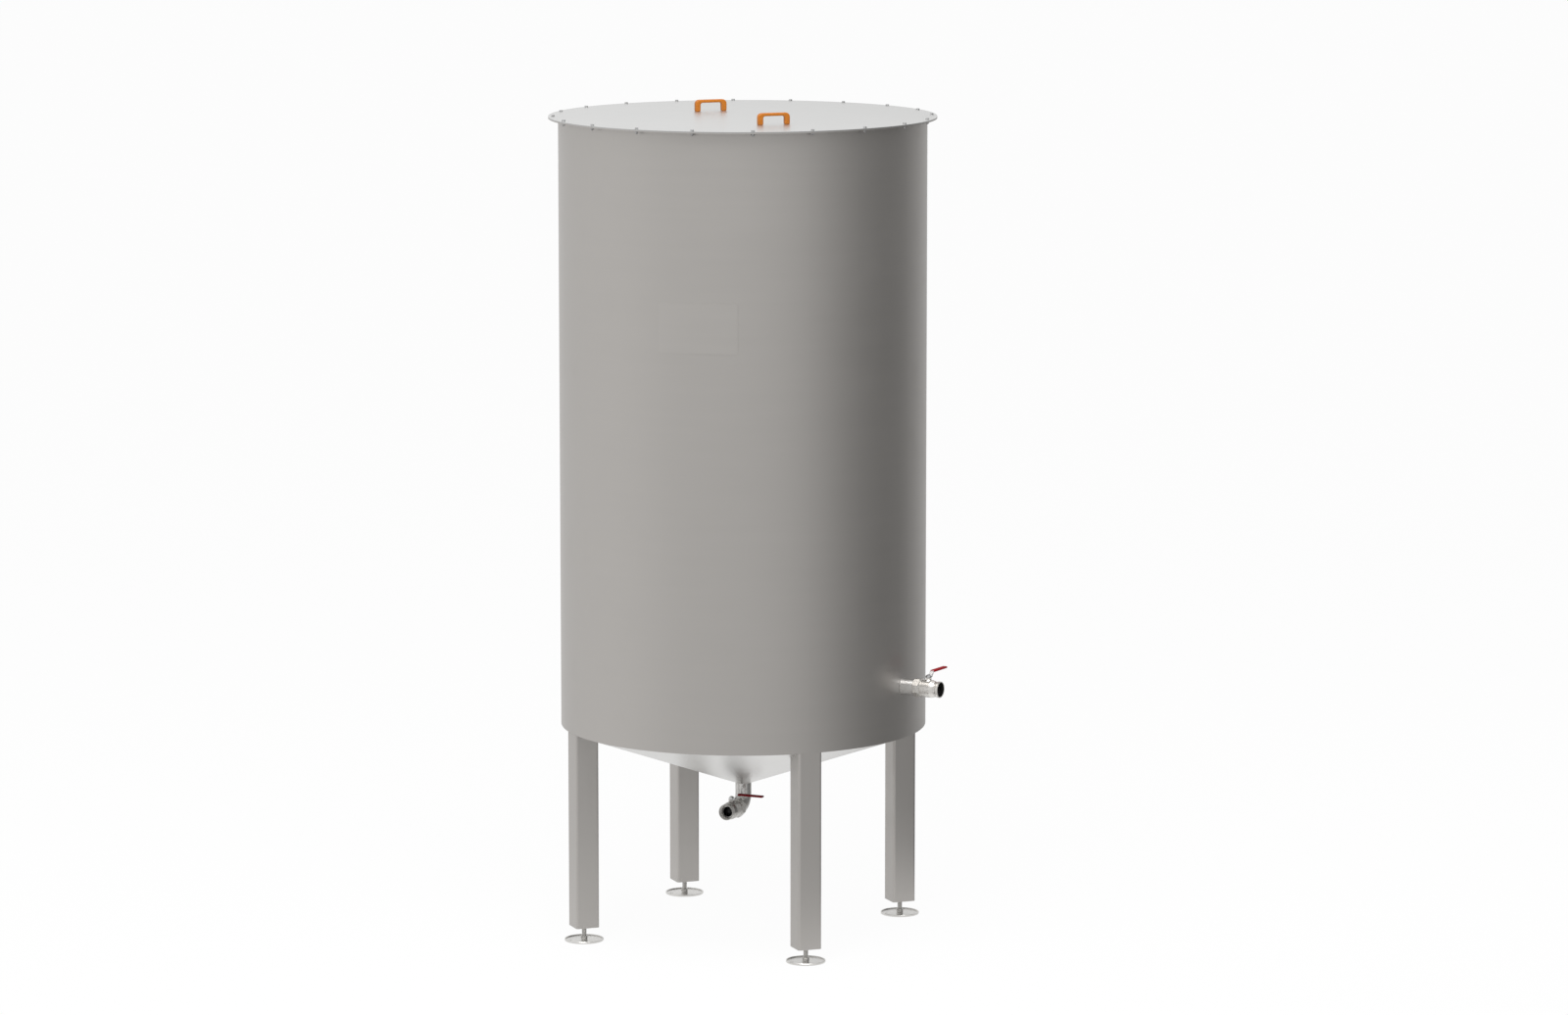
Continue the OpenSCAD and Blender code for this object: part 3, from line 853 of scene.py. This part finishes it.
def weld_all(bench: Bench) -> None:
    """Lays the weld beads that show: round the pipes, the flange and the cone's rim."""
    low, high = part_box("side_outlet_pipe")
    turn = math.radians(SIDE_OUTLET)
    wall = (SHELL_R * math.cos(turn), SHELL_R * math.sin(turn), (low.z + high.z) / 2)
    pipe_r = (high.z - low.z) / 2
    WeldBead(bench, "side_pipe_weld", pipe_r, 0.0014, wall, (0, math.pi / 2, turn)).build()
    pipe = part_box("bottom_outlet_pipe")
    pipe_r = (pipe[1].x - pipe[0].x) / 2
    for name, radius, leg, level in (
        ("cone_pipe_weld", pipe_r, 0.0014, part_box("cone_bottom")[0].z),
        ("elbow_weld", pipe_r, 0.0006, pipe[0].z),
        ("flange_weld", SHELL_R, 0.0014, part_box("top_flange")[0].z),
        ("cone_rim_weld", SHELL_R - 0.001, 0.0012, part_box("shell")[0].z),
    ):
        WeldBead(bench, name, radius, leg, (0, 0, level)).build()


@dataclass
class Studio:
    """The white room: floor, soft lamps, a card round the tank and the camera.

    Attributes:
        card_inner_r: where the card's ring over the floor starts.
        card_turn: the angle about the tank's axis that the card's stops are counted from.
        card_stops: how dark the card is, from 0 to 1, at angles round the tank.
    """

    floor_half: float = 75.0
    card_r: float = 3.0
    card_inner_r: float = 1.0
    card_top: float = 3.8
    skirt_z: float = 0.03
    card_turn: float = -111.38
    card_stops: tuple[tuple[float, float], ...] = (
        (-68.6, 0.02), (-36, 0.15), (0, 0.19), (26, 0.26), (45, 0.41), (60, 0.6), (80, 0.71),
        (95, 0.75), (112, 0.69), (125, 0.43), (145, 0.24), (160, 0.15), (195, 0.02),
        (234, 0.09), (257, 0.02), (291.3, 0.02),
    )

    def build(self) -> None:
        """Sets the room up."""
        self.world()
        self.floor()
        self.card()
        self.lamps()
        self.camera()

    @staticmethod
    def seen(tree: bpy.types.NodeTree) -> bpy.types.NodeSocket:
        """Adds what is 1 for camera, glossy and transmission rays."""
        path = tree.nodes.new("ShaderNodeLightPath")
        either = path.outputs["Is Camera Ray"]
        for name in ("Is Glossy Ray", "Is Transmission Ray"):
            largest = tree.nodes.new("ShaderNodeMath")
            largest.operation = "MAXIMUM"
            tree.links.new(either, largest.inputs[0])
            tree.links.new(path.outputs[name], largest.inputs[1])
            either = largest.outputs[0]
        return either

    def world(self) -> None:
        """A white world where it is seen, and a softer one as a light."""
        world = bpy.data.worlds.new("white_room")
        bpy.context.scene.world = world
        world.use_nodes = True
        tree = world.node_tree
        light = tree.nodes["Background"]
        light.inputs["Color"].default_value = (1, 1, 1, 1)
        light.inputs["Strength"].default_value = 0.42
        white = tree.nodes.new("ShaderNodeBackground")
        white.inputs["Color"].default_value = (1, 1, 1, 1)
        mix = tree.nodes.new("ShaderNodeMixShader")
        tree.links.new(self.seen(tree), mix.inputs[0])
        tree.links.new(light.outputs[0], mix.inputs[1])
        tree.links.new(white.outputs[0], mix.inputs[2])
        tree.links.new(mix.outputs[0], tree.nodes["World Output"].inputs["Surface"])

    def floor(self) -> None:
        """A pale floor that stays white and keeps a faint shadow."""
        bpy.ops.mesh.primitive_plane_add(size=2 * self.floor_half)
        floor = bpy.context.object
        floor.name = "studio_floor"
        material = bpy.data.materials.new("pale_floor")
        material.use_nodes = True
        tree = material.node_tree
        tree.nodes.clear()
        matt = tree.nodes.new("ShaderNodeBsdfDiffuse")
        matt.inputs["Color"].default_value = (0.9, 0.9, 0.9, 1)
        glow = tree.nodes.new("ShaderNodeEmission")
        mix = tree.nodes.new("ShaderNodeMixShader")
        share = tree.nodes.new("ShaderNodeMath")
        share.operation = "MULTIPLY"
        share.inputs[1].default_value = 0.96
        out = tree.nodes.new("ShaderNodeOutputMaterial")
        tree.links.new(self.seen(tree), share.inputs[0])
        tree.links.new(share.outputs[0], mix.inputs[0])
        tree.links.new(matt.outputs[0], mix.inputs[1])
        tree.links.new(glow.outputs[0], mix.inputs[2])
        tree.links.new(mix.outputs[0], out.inputs["Surface"])
        floor.data.materials.append(material)

    def card(self) -> None:
        """A card round the tank with a ring just over the floor, which only reflections see."""
        bpy.ops.mesh.primitive_cylinder_add(
            vertices=96, radius=self.card_r, depth=self.card_top, end_fill_type="NOTHING"
        )
        card = bpy.context.object
        card.name = "dark_card"
        card.location.z = self.card_top / 2
        bpy.ops.mesh.primitive_cone_add(
            vertices=96,
            radius1=self.card_inner_r,
            radius2=self.card_r,
            depth=0.02,
            end_fill_type="NOTHING",
            location=(0, 0, self.skirt_z),
        )
        skirt = bpy.context.object
        bpy.ops.object.select_all(action="DESELECT")
        for part in (skirt, card):
            part.select_set(True)
            bpy.context.view_layer.objects.active = part
        bpy.ops.object.transform_apply(location=True, rotation=True, scale=True)
        bpy.ops.object.join()
        material = bpy.data.materials.new("dark_card")
        material.use_nodes = True
        tree = material.node_tree
        tree.nodes.clear()
        place = tree.nodes.new("ShaderNodeTexCoord")
        turn = tree.nodes.new("ShaderNodeTexGradient")
        turn.gradient_type = "RADIAL"
        ramp = tree.nodes.new("ShaderNodeValToRGB")
        stops = ramp.color_ramp.elements
        while len(stops) < len(self.card_stops):
            stops.new(1.0)
        for stop, (degrees, dark) in zip(stops, self.card_stops):
            stop.position = (degrees + self.card_turn) / 360 + 0.5
            stop.color = (dark, dark, dark, 1.0)
        clear = tree.nodes.new("ShaderNodeBsdfTransparent")
        black = tree.nodes.new("ShaderNodeEmission")
        black.inputs["Strength"].default_value = 0.0
        mix = tree.nodes.new("ShaderNodeMixShader")
        out = tree.nodes.new("ShaderNodeOutputMaterial")
        tree.links.new(place.outputs["Object"], turn.inputs[0])
        tree.links.new(turn.outputs["Fac"], ramp.inputs["Fac"])
        tree.links.new(ramp.outputs["Color"], mix.inputs[0])
        tree.links.new(clear.outputs[0], mix.inputs[1])
        tree.links.new(black.outputs[0], mix.inputs[2])
        tree.links.new(mix.outputs[0], out.inputs["Surface"])
        card.data.materials.append(material)
        for ray in ("camera", "diffuse", "shadow", "transmission"):
            setattr(card, f"visible_{ray}", False)

    @staticmethod
    def lamps() -> None:
        """A broad lamp overhead and a weaker one at the front left."""
        for name, place, size, power, mirrored in (
            ("top_lamp", (-1.0, -2.0, 7.0), 5.0, 360.0, True),
            ("front_lamp", (-6.0, -7.0, 4.0), 4.0, 260.0, False),
        ):
            light = bpy.data.lights.new(name, "AREA")
            light.shape = "DISK"
            light.size = size
            light.energy = power
            lamp = bpy.data.objects.new(name, light)
            bpy.context.scene.collection.objects.link(lamp)
            lamp.location = place
            lamp.visible_glossy = mirrored
            aim = Vector((0, 0, 1.4)) - Vector(place)
            lamp.rotation_euler = aim.to_track_quat("-Z", "Y").to_euler()

    @staticmethod
    def camera() -> None:
        """The camera at the photograph's viewing angle."""
        data = bpy.data.cameras.new("photo_camera")
        data.sensor_width = 36.0
        data.lens = 136.28
        data.clip_end = 200.0
        camera = bpy.data.objects.new("photo_camera", data)
        bpy.context.scene.collection.objects.link(camera)
        camera.location = (-6.893, -17.978, 4.292)
        camera.rotation_euler = (math.radians(90 - 8.5292), 0, math.radians(-21.3762))
        bpy.context.scene.camera = camera


def main() -> None:
    """Builds the dressed tank and its studio."""
    logging.basicConfig(level=logging.INFO, format="%(name)s: %(message)s")
    bpy.context.scene.view_settings.view_transform = "Standard"
    bench = Bench()
    bench.dress_frame()
    RimBolts(bench).build()
    SoftHandles(bench).build()
    FootStems(bench).build()
    ValveTrim(bench, "side_valve", SIDE_OUTLET, 0.644).build()
    ValveTrim(bench, "bottom_valve", BOTTOM_OUTLET, 0.043).build()
    weld_all(bench)
    Studio().build()


if __name__ == "__main__":
    main()
